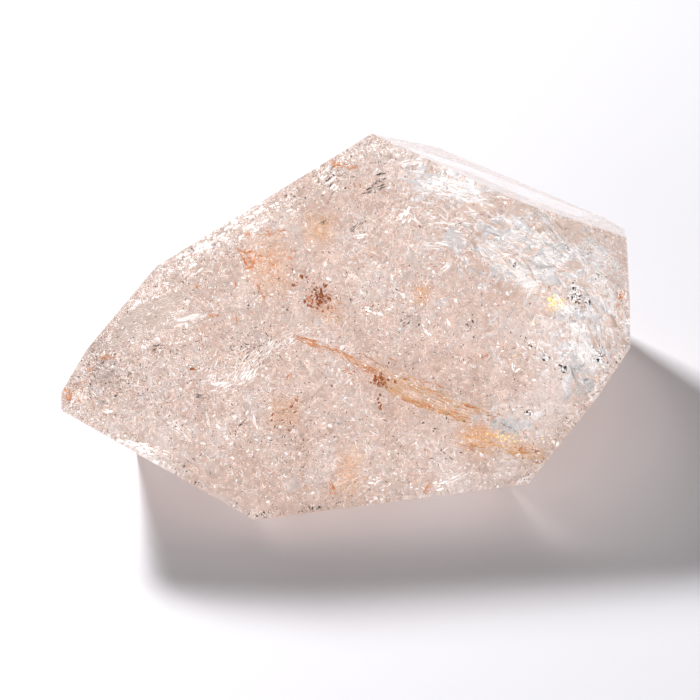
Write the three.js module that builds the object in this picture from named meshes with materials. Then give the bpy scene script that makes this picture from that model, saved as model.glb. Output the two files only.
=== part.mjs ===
// Pink quartz freeform: one solid piece of polished stone with flat faces, a blunt tip and a flat base.
// Millimetres, +Z up. The origin is at the middle of the bounding box's bottom.
// +X runs along the stone's length, away from the blunt tip.

import * as THREE from 'three';
import { ConvexGeometry } from 'three/addons/geometries/ConvexGeometry.js';

// Size of the rounding where two flats meet
const EDGE_RADIUS = 0.5;
// The tip is worn rounder than the other corners
const TIP_RADIUS = 0.9;
// Steps across the rounding of an ordinary corner, and of a tip corner
const EDGE_STEPS = 2;
const TIP_STEPS = 4;

// The point inside the stone that every flat's reach is measured from
const MIDDLE = new THREE.Vector3(-0.1, 0.1, 26);

// Each flat faces a heading (degrees anticlockwise from +X) and a slope (degrees above level),
// and lies its reach (mm) from the middle.
const FLATS = {
  // Faces on the near side, from the floor up
  front: { heading: -112.5, slope: 25.5, reach: 13.2 },
  upper: { heading: -110.5, slope: 46, reach: 13.2 },
  shoulder: { heading: -123.5, slope: 43.5, reach: 18.4 },
  // Faces at the wide end
  side: { heading: -86.5, slope: 36, reach: 22.2 },
  cornerTriangle: { heading: -24.5, slope: 51.5, reach: 31 },
  wideEnd: { heading: -30.5, slope: 4.5, reach: 43 },
  // Small flats that blunt the tip, from the ridge down
  tipUpper: { heading: 136.5, slope: 20, reach: 39.4, onTip: true },
  tipMiddle: { heading: 148, slope: 18, reach: 44.4, onTip: true },
  tipEnd: { heading: 159, slope: 6, reach: 50, onTip: true },
  // The long flat on top, leaning away to the back
  top: { heading: 19, slope: 54.5, reach: 28.2 },
  // Faces on the far side
  backTip: { heading: 107, slope: 8, reach: 20.6 },
  backUpper: { heading: 101.5, slope: 27.5, reach: 21 },
  back: { heading: 59, slope: 10, reach: 32.8 },
  backEnd: { heading: 12, slope: 2, reach: 51.6 },
  // Faces turned under, down to the base
  underTip: { heading: -155, slope: -38, reach: 38.5 },
  underFront: { heading: -105.5, slope: -45, reach: 31 },
  underSide: { heading: -47, slope: -31, reach: 36.8 },
  underBack: { heading: 66, slope: -40, reach: 39.5 },
  // The flat it stands on
  base: { heading: 0, slope: -90, reach: 26 },
};

// The outward direction of a flat.
function facing(flat) {
  const heading = THREE.MathUtils.degToRad(flat.heading);
  const slope = THREE.MathUtils.degToRad(flat.slope);
  return new THREE.Vector3(
    Math.cos(heading) * Math.cos(slope),
    Math.sin(heading) * Math.cos(slope),
    Math.sin(slope),
  );
}

// Every flat as a plane, moved inwards by the rounding's radius.
function insetPlanes(radius) {
  return Object.values(FLATS).map((flat) => {
    const normal = facing(flat);
    const plane = new THREE.Plane(normal, -(normal.dot(MIDDLE) + flat.reach - radius));
    return Object.assign(plane, { onTip: Boolean(flat.onTip) });
  });
}

// The point that three planes share, or null when two of them are parallel.
function meetingPoint(a, b, c) {
  const bc = new THREE.Vector3().crossVectors(b.normal, c.normal);
  const ca = new THREE.Vector3().crossVectors(c.normal, a.normal);
  const ab = new THREE.Vector3().crossVectors(a.normal, b.normal);
  const volume = a.normal.dot(bc);
  if (Math.abs(volume) < 1e-6) {
    return null;
  }
  return new THREE.Vector3()
    .addScaledVector(bc, -a.constant)
    .addScaledVector(ca, -b.constant)
    .addScaledVector(ab, -c.constant)
    .divideScalar(volume);
}

// The corners of the body that the planes bound, each with the directions of its three flats.
// A corner belongs to the tip when one of its flats does.
function corners(planes) {
  const found = [];
  for (let i = 0; i < planes.length; i += 1) {
    for (let j = i + 1; j < planes.length; j += 1) {
      for (let k = j + 1; k < planes.length; k += 1) {
        const three = [planes[i], planes[j], planes[k]];
        const point = meetingPoint(...three);
        if (point && planes.every((plane) => plane.distanceToPoint(point) < 1e-6)) {
          const onTip = three.some((plane) => plane.onTip);
          found.push({ point, onTip, normals: three.map((plane) => plane.normal) });
        }
      }
    }
  }
  return found;
}

// Points on the ball of a rounded corner, spread between the directions of its three flats.
function roundedCorner(corner, radius, steps) {
  const points = [];
  for (let i = 0; i <= steps; i += 1) {
    for (let j = 0; j <= steps - i; j += 1) {
      const direction = new THREE.Vector3()
        .addScaledVector(corner.normals[0], i)
        .addScaledVector(corner.normals[1], j)
        .addScaledVector(corner.normals[2], steps - i - j)
        .normalize();
      points.push(corner.point.clone().addScaledVector(direction, radius));
    }
  }
  return points;
}

// The whole stone: the tip's corners are rounded more than the rest.
function stoneGeometry() {
  const tip = corners(insetPlanes(TIP_RADIUS)).filter((corner) => corner.onTip);
  const rest = corners(insetPlanes(EDGE_RADIUS)).filter((corner) => !corner.onTip);
  const points = [
    ...tip.flatMap((corner) => roundedCorner(corner, TIP_RADIUS, TIP_STEPS)),
    ...rest.flatMap((corner) => roundedCorner(corner, EDGE_RADIUS, EDGE_STEPS)),
  ];
  return new ConvexGeometry(points);
}

const quartzMaterial = new THREE.MeshStandardMaterial({ color: 0xe6d2c8, roughness: 0.08, metalness: 0 });

const quartz = new THREE.Mesh(stoneGeometry(), quartzMaterial);
quartz.name = 'quartz';

const part = new THREE.Group();
part.name = 'pink_quartz_freeform';
part.add(quartz);

export default part;
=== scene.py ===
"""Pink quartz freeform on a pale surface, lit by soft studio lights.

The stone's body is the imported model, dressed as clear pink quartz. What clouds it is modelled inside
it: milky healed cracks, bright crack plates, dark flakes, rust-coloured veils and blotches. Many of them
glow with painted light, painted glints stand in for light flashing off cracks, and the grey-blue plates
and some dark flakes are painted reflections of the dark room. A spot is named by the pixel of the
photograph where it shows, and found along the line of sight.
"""

from __future__ import annotations

import logging
import math
from dataclasses import dataclass, field
from enum import Enum

import bpy
import numpy as np
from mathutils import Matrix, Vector


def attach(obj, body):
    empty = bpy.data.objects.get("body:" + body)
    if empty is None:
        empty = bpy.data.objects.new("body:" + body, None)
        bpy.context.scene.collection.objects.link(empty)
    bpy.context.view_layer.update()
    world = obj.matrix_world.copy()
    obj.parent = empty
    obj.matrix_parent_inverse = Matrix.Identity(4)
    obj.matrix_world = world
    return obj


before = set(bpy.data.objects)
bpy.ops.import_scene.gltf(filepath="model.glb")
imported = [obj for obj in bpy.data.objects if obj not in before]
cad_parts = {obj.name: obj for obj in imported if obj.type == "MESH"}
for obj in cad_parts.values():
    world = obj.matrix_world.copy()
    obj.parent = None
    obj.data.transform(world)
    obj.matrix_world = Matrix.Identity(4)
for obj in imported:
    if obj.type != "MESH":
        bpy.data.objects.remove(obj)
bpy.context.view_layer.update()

logging.basicConfig(level=logging.INFO, format="%(message)s")
log = logging.getLogger("pink_quartz")

MM = 0.001
QUARTZ_IOR = 1.544

# the least stone over a flake, and how many mm deep a spot lies where nothing else is said
SKIN = 0.15 * MM
USUAL_DEPTH = 0.8

# how often light bounces, where the shades of a finish lie on its noise, and how fine its streaks are
BOUNCES = {
    "max_bounces": 9, "diffuse_bounces": 2, "glossy_bounces": 3, "transmission_bounces": 6,
    "transparent_max_bounces": 32,
}
SHADE_STOPS = (0.35, 0.65)
STREAK_GRAIN = {"Scale": 1.0, "Detail": 2, "Roughness": 0.6}

# a flake: its height before it is flattened, its uneven outline, its bend, and how soon its rim is full
CONE_HEIGHT = 0.6
OUTLINE_WAVES = ((2, 0.7), (3, 2.1))
BEND_MIDDLE = 0.08
RIM_FADE = 2.2

# faces that agree to these steps are one flat
TURN_STEPS = 500
REACH_STEPS = 20000

# the patches that a scatter gathers in: their waves, sizes in mm and contrast
PATCH_SEEDS = 1000000
PATCH_WAVES = 7
PATCH_SIZES = (8, 30)
PATCH_CONTRAST = 3.2

# a flake that would shrink below this share is left out, and each has its own place on the streaks, in mm
LEAST_FIT = 0.25
LEAST_REACH = 1e-6
SHEET_SPREAD = 500

# a veil: the points that its line is smoothed over, its ripples and the rounds that keep it inside
SMOOTHED_OVER = 7
RIPPLES = ((17, 5, 0.6), (41, -9, 0.4))
STREAK_SHIFT = 7
PUSHES_INWARD = 12

Colour = tuple[float, float, float]
Point = tuple[float, float, float]
Sources = dict[str | int, object]


class FlakeForm(Enum):
    """The small forms that the cracks inside the stone are made of."""

    PLATE = "plate"
    CHIP = "chip"
    SHEET = "sheet"


def deselect_everything() -> None:
    """Leave no object selected, so that the next operator acts on the new piece alone."""
    if bpy.context.object and bpy.context.object.mode != "OBJECT":
        bpy.ops.object.mode_set(mode="OBJECT")
    bpy.ops.object.select_all(action="DESELECT")


def direction(azimuth: float, elevation: float) -> Vector:
    """Point from the stone towards a light or camera.

    Args:
        azimuth: Degrees round the stone; at 0 the camera looks along +Y, at 90 along -X.
        elevation: Degrees above the floor.

    Returns:
        The unit vector from the stone outwards.
    """
    turn, rise = math.radians(azimuth), math.radians(elevation)
    return Vector((math.sin(turn) * math.cos(rise), -math.cos(turn) * math.cos(rise), math.sin(rise)))


def aim(thing: bpy.types.Object, target: Vector) -> None:
    """Turn a camera or light so that it looks at a point."""
    thing.rotation_euler = (target - thing.location).to_track_quat("-Z", "Y").to_euler()


def feed(tree: bpy.types.NodeTree, node: bpy.types.Node, sources: Sources) -> bpy.types.Node:
    """Set or link a node's inputs.

    Args:
        tree: The tree that the node is in.
        node: The node.
        sources: For each input, its value or the output that feeds it.

    Returns:
        The node.
    """
    for name, source in sources.items():
        if isinstance(source, bpy.types.NodeSocket):
            tree.links.new(source, node.inputs[name])
        else:
            node.inputs[name].default_value = source
    return node


def add_node(
    tree: bpy.types.NodeTree, kind: str, sources: Sources | None = None, **settings: object
) -> bpy.types.Node:
    """Add a node to a tree.

    Args:
        tree: The tree.
        kind: The node's type, without the words that every shader node's type begins with.
        sources: For each input, its value or the output that feeds it.
        settings: The node's own settings.

    Returns:
        The node.
    """
    node = tree.nodes.new("ShaderNode" + kind)
    for name, value in settings.items():
        setattr(node, name, value)
    return feed(tree, node, sources or {})


@dataclass(frozen=True)
class Spot:
    """A place inside the stone: the pixel of the photograph where it shows, and its depth in mm."""

    across: float
    down: float
    deep: float = USUAL_DEPTH


def spots(*pixels: float, deep: float = USUAL_DEPTH) -> tuple[Spot, ...]:
    """Name a row of spots at one depth, from their pixels across and down in turn."""
    return tuple(Spot(across, down, deep) for across, down in zip(pixels[::2], pixels[1::2]))


@dataclass(frozen=True)
class Viewpoint:
    """The camera, at the photograph's viewing angle."""

    azimuth: float = -26.0
    elevation: float = 40.0
    distance: float = 328 * MM
    look_at: Point = (-5.6 * MM, -4.3 * MM, 24 * MM)
    lens: float = 102.86
    sensor: float = 36.0
    picture: float = 700.0
    nearest: float = 10 * MM
    farthest: float = 20.0

    def sight(self, spot: Spot) -> tuple[np.ndarray, np.ndarray]:
        """Find the line of sight to a spot of the photograph.

        Args:
            spot: The spot.

        Returns:
            The eye's place and the way that it looks.
        """
        back = direction(self.azimuth, self.elevation)
        right = Vector((0, 0, 1)).cross(back).normalized()
        up = back.cross(right)
        half, focal = self.picture / 2, self.lens / self.sensor * self.picture
        eye = Vector(self.look_at) + back * self.distance
        ray = right * (spot.across - half) + up * (half - spot.down) - back * focal
        return np.array(eye), np.array(ray.normalized())

    def build(self) -> None:
        """Place the camera and make it the scene's own."""
        camera = bpy.data.objects.new("camera", bpy.data.cameras.new("camera"))
        camera.data.lens = self.lens
        camera.data.sensor_width = self.sensor
        camera.data.clip_start = self.nearest
        camera.data.clip_end = self.farthest
        target = Vector(self.look_at)
        camera.location = target + direction(self.azimuth, self.elevation) * self.distance
        aim(camera, target)
        bpy.context.scene.collection.objects.link(camera)
        bpy.context.scene.camera = camera


@dataclass(frozen=True)
class SoftBox:
    """A square studio light that looks at the stone."""

    name: str
    azimuth: float
    elevation: float
    distance: float
    side: float
    watts: float
    colour: Colour = (1.0, 1.0, 1.0)
    target: Point = (0.0, 0.0, 0.02)

    def build(self) -> None:
        """Hang the light and aim it at the stone."""
        lamp = bpy.data.lights.new(self.name, "AREA")
        lamp.shape = "SQUARE"
        lamp.size = self.side
        lamp.energy = self.watts
        lamp.color = self.colour
        light = bpy.data.objects.new(self.name, lamp)
        target = Vector(self.target)
        light.location = target + direction(self.azimuth, self.elevation) * self.distance
        aim(light, target)
        bpy.context.scene.collection.objects.link(light)


@dataclass
class Studio:
    """The pale floor, the lights round it and the light of the room."""

    floor_side: float = 6.0
    floor_colour: Colour = (0.82, 0.81, 0.85)
    floor_roughness: float = 0.45
    room_colour: Colour = (1.0, 1.0, 1.0)
    room_strength: float = 0.22
    lights: tuple[SoftBox, ...] = (
        SoftBox("key_light", azimuth=197, elevation=42, distance=1.0, side=0.17, watts=14.0),
        SoftBox("front_light", azimuth=-60, elevation=18, distance=0.9, side=0.5, watts=1.6),
    )

    def build(self) -> None:
        """Lay the floor, hang the lights and fill the room with light."""
        deselect_everything()
        bpy.ops.mesh.primitive_plane_add(size=self.floor_side)
        floor = bpy.context.object
        floor.name = "floor"
        floor.data.materials.append(self.floor_material())
        for light in self.lights:
            light.build()
        world = bpy.data.worlds.new("room")
        world.use_nodes = True
        background = world.node_tree.nodes["Background"]
        background.inputs["Color"].default_value = (*self.room_colour, 1)
        background.inputs["Strength"].default_value = self.room_strength
        scene = bpy.context.scene
        scene.world = world
        scene.view_settings.view_transform = "Standard"
        for name, count in BOUNCES.items():
            setattr(scene.cycles, name, count)

    def floor_material(self) -> bpy.types.Material:
        """Make the plain pale surface that the stone stands on.

        Returns:
            The floor's material.
        """
        material = bpy.data.materials.new("pale_floor")
        material.use_nodes = True
        tree = material.node_tree
        look = {"Base Color": (*self.floor_colour, 1), "Roughness": self.floor_roughness}
        feed(tree, tree.nodes["Principled BSDF"], look)
        return material


@dataclass(frozen=True)
class QuartzFinish:
    """The stone's body: polished, see-through and faintly pink."""

    tint: Colour = (1.0, 0.985, 0.975)
    gloss: float = 0.012
    dull: float = 0.07
    polish_patch: float = 6 * MM
    polish_steps: int = 4
    edge_wear: float = 0.5 * MM
    edge_samples: int = 2
    ior: float = QUARTZ_IOR
    absorbed: Colour = (0.95, 0.62, 0.50)
    absorption: float = 3.0
    lamp_tint: Colour = (0.104, 0.100, 0.096)

    def material(self) -> bpy.types.Material:
        """Make the polished quartz, which lets some of the lamps' light in to its cracks.

        Returns:
            The body's material.
        """
        material = bpy.data.materials.new("pink_quartz")
        material.use_nodes = True
        tree = material.node_tree
        place = add_node(tree, "TexCoord")
        wear = add_node(tree, "TexNoise", {
            "Vector": place.outputs["Object"], "Scale": 1 / self.polish_patch, "Detail": self.polish_steps,
        })
        polish = add_node(tree, "MapRange", {
            "Value": wear.outputs["Fac"], "To Min": self.gloss, "To Max": self.dull,
        })
        edges = add_node(tree, "Bevel", {"Radius": self.edge_wear}, samples=self.edge_samples)
        glass = feed(tree, tree.nodes["Principled BSDF"], {
            "Base Color": (*self.tint, 1), "IOR": self.ior, "Transmission Weight": 1.0,
            "Roughness": polish.outputs["Result"], "Normal": edges.outputs["Normal"],
        })
        path = add_node(tree, "LightPath")
        lets_lamps = add_node(tree, "BsdfTransparent", {"Color": (*self.lamp_tint, 1)})
        mix = add_node(tree, "MixShader", {
            0: path.outputs["Is Shadow Ray"], 1: glass.outputs["BSDF"], 2: lets_lamps.outputs["BSDF"],
        })
        depth = add_node(tree, "VolumeAbsorption", {"Color": (*self.absorbed, 1), "Density": self.absorption})
        feed(tree, tree.nodes["Material Output"], {
            "Surface": mix.outputs["Shader"], "Volume": depth.outputs["Volume"],
        })
        return material


def streak_group() -> bpy.types.ShaderNodeTree:
    """Build, once, the streaks that healed cracks show, which fade towards a sheet's rim.

    Returns:
        The group, which puts out a mask from 0 to 1.
    """
    if "crack_streaks" in bpy.data.node_groups:
        return bpy.data.node_groups["crack_streaks"]
    group = bpy.data.node_groups.new("crack_streaks", "ShaderNodeTree")
    for name in ("Streak Width", "Streak Length", "From", "To"):
        group.interface.new_socket(name=name, in_out="INPUT", socket_type="NodeSocketFloat")
    group.interface.new_socket(name="Mask", in_out="OUTPUT", socket_type="NodeSocketFloat")
    given, result = group.nodes.new("NodeGroupInput"), group.nodes.new("NodeGroupOutput")
    apart = add_node(group, "SeparateXYZ", {"Vector": add_node(group, "UVMap").outputs["UV"]})
    streaks = add_node(group, "CombineXYZ")
    for axis, size in (("X", "Streak Length"), ("Y", "Streak Width")):
        scaled = add_node(group, "Math", {0: apart.outputs[axis], 1: given.outputs[size]}, operation="DIVIDE")
        feed(group, streaks, {axis: scaled.outputs["Value"]})
    noise = add_node(group, "TexNoise", {"Vector": streaks.outputs["Vector"], **STREAK_GRAIN})
    cut = add_node(group, "MapRange", {
        "Value": noise.outputs["Fac"], "From Min": given.outputs["From"], "From Max": given.outputs["To"],
    })
    rim = add_node(group, "Attribute", attribute_name="inward")
    fade = add_node(group, "Math", {0: cut.outputs["Result"], 1: rim.outputs["Fac"]}, operation="MULTIPLY")
    feed(group, result, {"Mask": fade.outputs["Value"]})
    return group


@dataclass(frozen=True)
class Streaks:
    """How a sheet breaks up into streaks: their size in mm, and the noise where they start and are full."""

    width: float
    length: float
    begin: float
    full: float


@dataclass(frozen=True)
class CrackFinish:
    """How one kind of crack or stain inside the stone looks."""

    name: str
    light: Colour
    dark: Colour
    patch: float = 7 * MM
    grain: float = 0.5
    grain_steps: int = 2
    roughness: float = 0.3
    specular: float = 0.6
    opacity: float = 1.0
    # painted light: glow is an emission standing in for light scattered in the milky stone
    glow: float = 0.0
    glow_tint: Colour | None = None
    glow_drift: Colour | None = None
    streaks: Streaks | None = None

    def material(self) -> bpy.types.Material:
        """Make the finish, once, for every piece that wears it.

        Returns:
            The flakes' material.
        """
        if self.name in bpy.data.materials:
            return bpy.data.materials[self.name]
        material = bpy.data.materials.new(self.name)
        material.use_nodes = True
        tree = material.node_tree
        # the emission is painted light, which makes the flakes glow though they are no lamps
        shader = feed(tree, tree.nodes["Principled BSDF"], {
            "Roughness": self.roughness, "Specular IOR Level": self.specular, "Alpha": self.opacity,
            "Emission Color": (*(self.glow_tint or self.light), 1), "Emission Strength": self.glow,
        })
        self.add_patches(tree, shader)
        if self.streaks:
            self.add_streaks(tree, shader)
        return material

    def add_patches(self, tree: bpy.types.NodeTree, shader: bpy.types.Node) -> None:
        """Let the colour drift from the light to the dark shade in soft patches.

        Args:
            tree: The material's nodes.
            shader: The Principled shader.
        """
        patches = add_node(tree, "TexNoise", {
            "Vector": add_node(tree, "TexCoord").outputs["Object"],
            "Scale": 1 / self.patch, "Detail": self.grain_steps, "Roughness": self.grain,
        })
        drifts = {"Base Color": (self.dark, self.light)}
        if self.glow_drift:
            drifts["Emission Color"] = (self.glow_tint, self.glow_drift)
        for name, colours in drifts.items():
            shades = add_node(tree, "ValToRGB", {"Fac": patches.outputs["Fac"]})
            for stop, position, colour in zip(shades.color_ramp.elements, SHADE_STOPS, colours):
                stop.position = position
                stop.color = (*colour, 1)
            feed(tree, shader, {name: shades.outputs["Color"]})

    def add_streaks(self, tree: bpy.types.NodeTree, shader: bpy.types.Node) -> None:
        """Let the sheet show only where its streaks are.

        Args:
            tree: The material's nodes.
            shader: The Principled shader.
        """
        streaks = feed(tree, add_node(tree, "Group", node_tree=streak_group()), {
            "Streak Width": self.streaks.width, "Streak Length": self.streaks.length,
            "From": self.streaks.begin, "To": self.streaks.full,
        })
        thin = add_node(tree, "Math", {0: streaks.outputs["Mask"], 1: self.opacity}, operation="MULTIPLY")
        feed(tree, shader, {"Alpha": thin.outputs["Value"]})


FINE_GRAIN = Streaks(width=0.35, length=1.0, begin=0.33, full=0.57)
LONG_STREAKS = Streaks(width=0.45, length=3.5, begin=0.38, full=0.6)
WISPS = Streaks(width=0.30, length=4.0, begin=0.44, full=0.60)
CALM = Streaks(width=1.0, length=4.0, begin=0.10, full=0.40)
SILK = Streaks(width=0.4, length=6.0, begin=0.30, full=0.60)

# painted light: the colours that the cracks glow in, though none of them is a lamp
WARM_GLOW = (0.90, 0.67, 0.57)
PINK_GLOW = (0.91, 0.65, 0.55)
WHITE_GLOW = (0.95, 0.80, 0.75)
HAZE = CrackFinish(
    "healed_cracks", (0.82, 0.78, 0.76), dark=(0.66, 0.59, 0.56), glow=0.34, glow_tint=WARM_GLOW,
)
PALE_HAZE = CrackFinish("pale_cracks", (0.94, 0.93, 0.92), dark=(0.86, 0.82, 0.80), patch=2 * MM, glow=0.80)
WHITE_HAZE = CrackFinish(
    "white_cracks", (0.94, 0.94, 0.96), dark=(0.86, 0.85, 0.87), patch=2 * MM, glow=0.85,
)
DIM_HAZE = CrackFinish(
    "dim_cracks", (0.38, 0.24, 0.17), dark=(0.18, 0.11, 0.08), patch=3 * MM, specular=0.2,
)
MILK = CrackFinish(
    "milky_sheets", (0.84, 0.79, 0.77), dark=(0.72, 0.65, 0.62), glow=0.34, glow_tint=WARM_GLOW,
    opacity=0.6, streaks=FINE_GRAIN,
)
HEART = CrackFinish(
    "cloudy_heart", (0.52, 0.47, 0.45), dark=(0.42, 0.35, 0.32), glow=0.50, glow_tint=PINK_GLOW,
    glow_drift=WHITE_GLOW, roughness=0.6,
)
PALE_HEART = CrackFinish(
    "pale_heart", (0.62, 0.58, 0.56), dark=(0.50, 0.44, 0.41), glow=0.51, glow_tint=PINK_GLOW,
    glow_drift=WHITE_GLOW, roughness=0.6,
)
BRIGHT = CrackFinish(
    "bright_cracks", (0.98, 0.95, 0.94), dark=(0.90, 0.85, 0.83), patch=2 * MM, roughness=0.15,
    specular=0.9, glow=0.68,
)
# painted glints: white flakes that glow, standing in for light flashing off cracks
GLINT = CrackFinish(
    "glints", (1.0, 0.99, 0.99), dark=(0.92, 0.90, 0.90), patch=2 * MM, roughness=0.1, specular=1.0,
    glow=0.95,
)
WHITE_PLATE = CrackFinish(
    "white_plates", (0.98, 0.97, 0.97), dark=(0.92, 0.89, 0.88), roughness=0.2, glow=0.35, opacity=0.7,
    streaks=LONG_STREAKS,
)
CLOUD_WHITE = CrackFinish(
    "white_clouds", (0.92, 0.91, 0.93), dark=(0.80, 0.75, 0.75), patch=2 * MM, glow=0.35,
)
PINK_PLATE = CrackFinish(
    "pink_plates", (0.88, 0.76, 0.70), dark=(0.80, 0.66, 0.59), roughness=0.3, glow=0.35,
    glow_tint=WARM_GLOW,
)
# painted reflections: grey and blue-grey plates stand in for the dark room mirrored in cracks
GREY_REFLECTION = CrackFinish(
    "grey_plates", (0.80, 0.82, 0.84), dark=(0.66, 0.67, 0.69), patch=2 * MM, roughness=0.2, glow=0.2,
)
BLUE_GREY_REFLECTION = CrackFinish(
    "blue_grey_reflections", (0.78, 0.81, 0.83), dark=(0.62, 0.67, 0.71), patch=1.5 * MM, roughness=0.2,
    glow=0.2, opacity=0.26, streaks=CALM,
)
CALM_VEIL = CrackFinish(
    "calm_veil", (0.82, 0.76, 0.73), dark=(0.74, 0.67, 0.63), patch=4 * MM, roughness=0.2, glow=0.3,
    glow_tint=WARM_GLOW, opacity=0.6, streaks=SILK,
)
# the top strip's veil: its streaks are cracks, and its pale lavender white is a painted reflection of the
# room
TOP_VEIL = CrackFinish(
    "top_veil", (0.93, 0.92, 0.95), dark=(0.80, 0.77, 0.79), patch=3 * MM, roughness=0.2, glow=0.44,
    opacity=0.66, streaks=SILK,
)
# dark flakes: partly dark inclusions, partly painted reflections of the dark room in cracks
DARK_FLAKES_AND_REFLECTIONS = CrackFinish(
    "dark_flakes_and_reflections", (0.16, 0.15, 0.16), dark=(0.03, 0.03, 0.03), patch=1 * MM, roughness=0.2,
)
RUST = CrackFinish(
    "rust_stain", (0.92, 0.42, 0.18), dark=(0.72, 0.26, 0.09), patch=2 * MM, glow=0.22, specular=0.2,
)
DARK_RUST = CrackFinish(
    "dark_rust", (0.76, 0.28, 0.11), dark=(0.46, 0.13, 0.04), patch=0.8 * MM, glow=0.13, specular=0.05,
)
OCHRE = CrackFinish("ochre_stain", (0.96, 0.62, 0.27), dark=(0.86, 0.44, 0.15), patch=2 * MM, glow=0.25)
SMOKY_VEIL = CrackFinish(
    "smoky_veil", (0.56, 0.44, 0.38), dark=(0.42, 0.32, 0.27), patch=2 * MM, glow=0.12, glow_tint=WARM_GLOW,
    opacity=0.35, streaks=FINE_GRAIN,
)
MILKY_VEIL = CrackFinish(
    "milky_veil", (0.94, 0.93, 0.94), dark=(0.84, 0.80, 0.80), patch=3 * MM, glow=0.6, opacity=0.25,
    streaks=FINE_GRAIN,
)
RUST_VEIL = CrackFinish(
    "rust_veil", (0.95, 0.62, 0.34), dark=(0.90, 0.46, 0.18), patch=3 * MM, glow=0.25, opacity=0.38,
    streaks=WISPS,
)
OCHRE_VEIL = CrackFinish(
    "ochre_veil", (0.95, 0.68, 0.38), dark=(0.90, 0.54, 0.24), patch=3 * MM, glow=0.25, opacity=0.38,
    streaks=WISPS,
)
BROWN_VEIL = CrackFinish(
    "brown_veil", (0.86, 0.46, 0.28), dark=(0.72, 0.30, 0.15), patch=1.5 * MM, glow=0.2, opacity=0.5,
    streaks=FINE_GRAIN,
)
PEACH_VEIL = CrackFinish(
    "peach_veil", (0.96, 0.62, 0.38), dark=(0.90, 0.48, 0.26), patch=3 * MM, glow=0.3, opacity=0.46,
    streaks=FINE_GRAIN,
)
# painted glints in cool white, yellow and blue, standing in for light flashing off cracks in colour
COOL_GLINT = CrackFinish(
    "cool_glints", (0.84, 0.89, 1.0), dark=(0.74, 0.78, 0.92), patch=2 * MM, roughness=0.1, glow=0.85,
)
YELLOW_GLINT = CrackFinish(
    "yellow_glints", (1.0, 0.78, 0.20), dark=(0.95, 0.60, 0.10), patch=1 * MM, roughness=0.1, glow=1.1,
)
BLUE_GLINT = CrackFinish(
    "blue_glints", (0.45, 0.55, 1.0), dark=(0.50, 0.35, 0.95), patch=1 * MM, roughness=0.1, glow=0.8,
)


@dataclass(frozen=True)
class FlakeShape:
    """A flake's vertices and triangles, and how far in from its rim each vertex is, from 0 to 1."""

    points: np.ndarray
    triangles: np.ndarray
    inward: np.ndarray


@dataclass(frozen=True)
class Flake:
    """One small closed form, modelled once and copied by the clouds."""

    form: FlakeForm
    sides: int
    thickness: float
    width: float = 0.8
    skew: float = 0.35
    bend: float = 0.0

    def shape(self) -> FlakeShape:
        """Model the flake about one unit across.

        Returns:
            Its shape.
        """
        deselect_everything()
        if self.form is FlakeForm.CHIP:
            bpy.ops.mesh.primitive_cone_add(vertices=self.sides, radius1=0.5, depth=CONE_HEIGHT)
        else:
            rings = 4 if self.form is FlakeForm.SHEET else 2
            bpy.ops.mesh.primitive_uv_sphere_add(segments=self.sides, ring_count=rings, radius=0.5)
        piece = bpy.context.object
        bpy.ops.object.mode_set(mode="EDIT")
        bpy.ops.mesh.select_all(action="SELECT")
        bpy.ops.transform.resize(value=(1.0, self.width, self.thickness))
        bpy.ops.mesh.quads_convert_to_tris()
        bpy.ops.mesh.normals_make_consistent(inside=False)
        bpy.ops.object.mode_set(mode="OBJECT")
        mesh = piece.data
        points = np.array([vertex.co for vertex in mesh.vertices])
        triangles = np.array([list(face.vertices) for face in mesh.polygons])
        bpy.data.objects.remove(piece)
        bpy.data.meshes.remove(mesh)
        inward = np.clip(RIM_FADE - 2 * RIM_FADE * np.hypot(points[:, 0], points[:, 1] / self.width), 0, 1)
        turn = np.arctan2(points[:, 1], points[:, 0])
        uneven = sum(np.sin(times * turn + start) for times, start in OUTLINE_WAVES)
        points[:, :2] *= 1 + self.skew * uneven[:, None] / len(OUTLINE_WAVES)
        points[:, 2] += self.bend * (points[:, 0] ** 2 - BEND_MIDDLE)
        return FlakeShape(points, triangles, inward)


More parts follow.
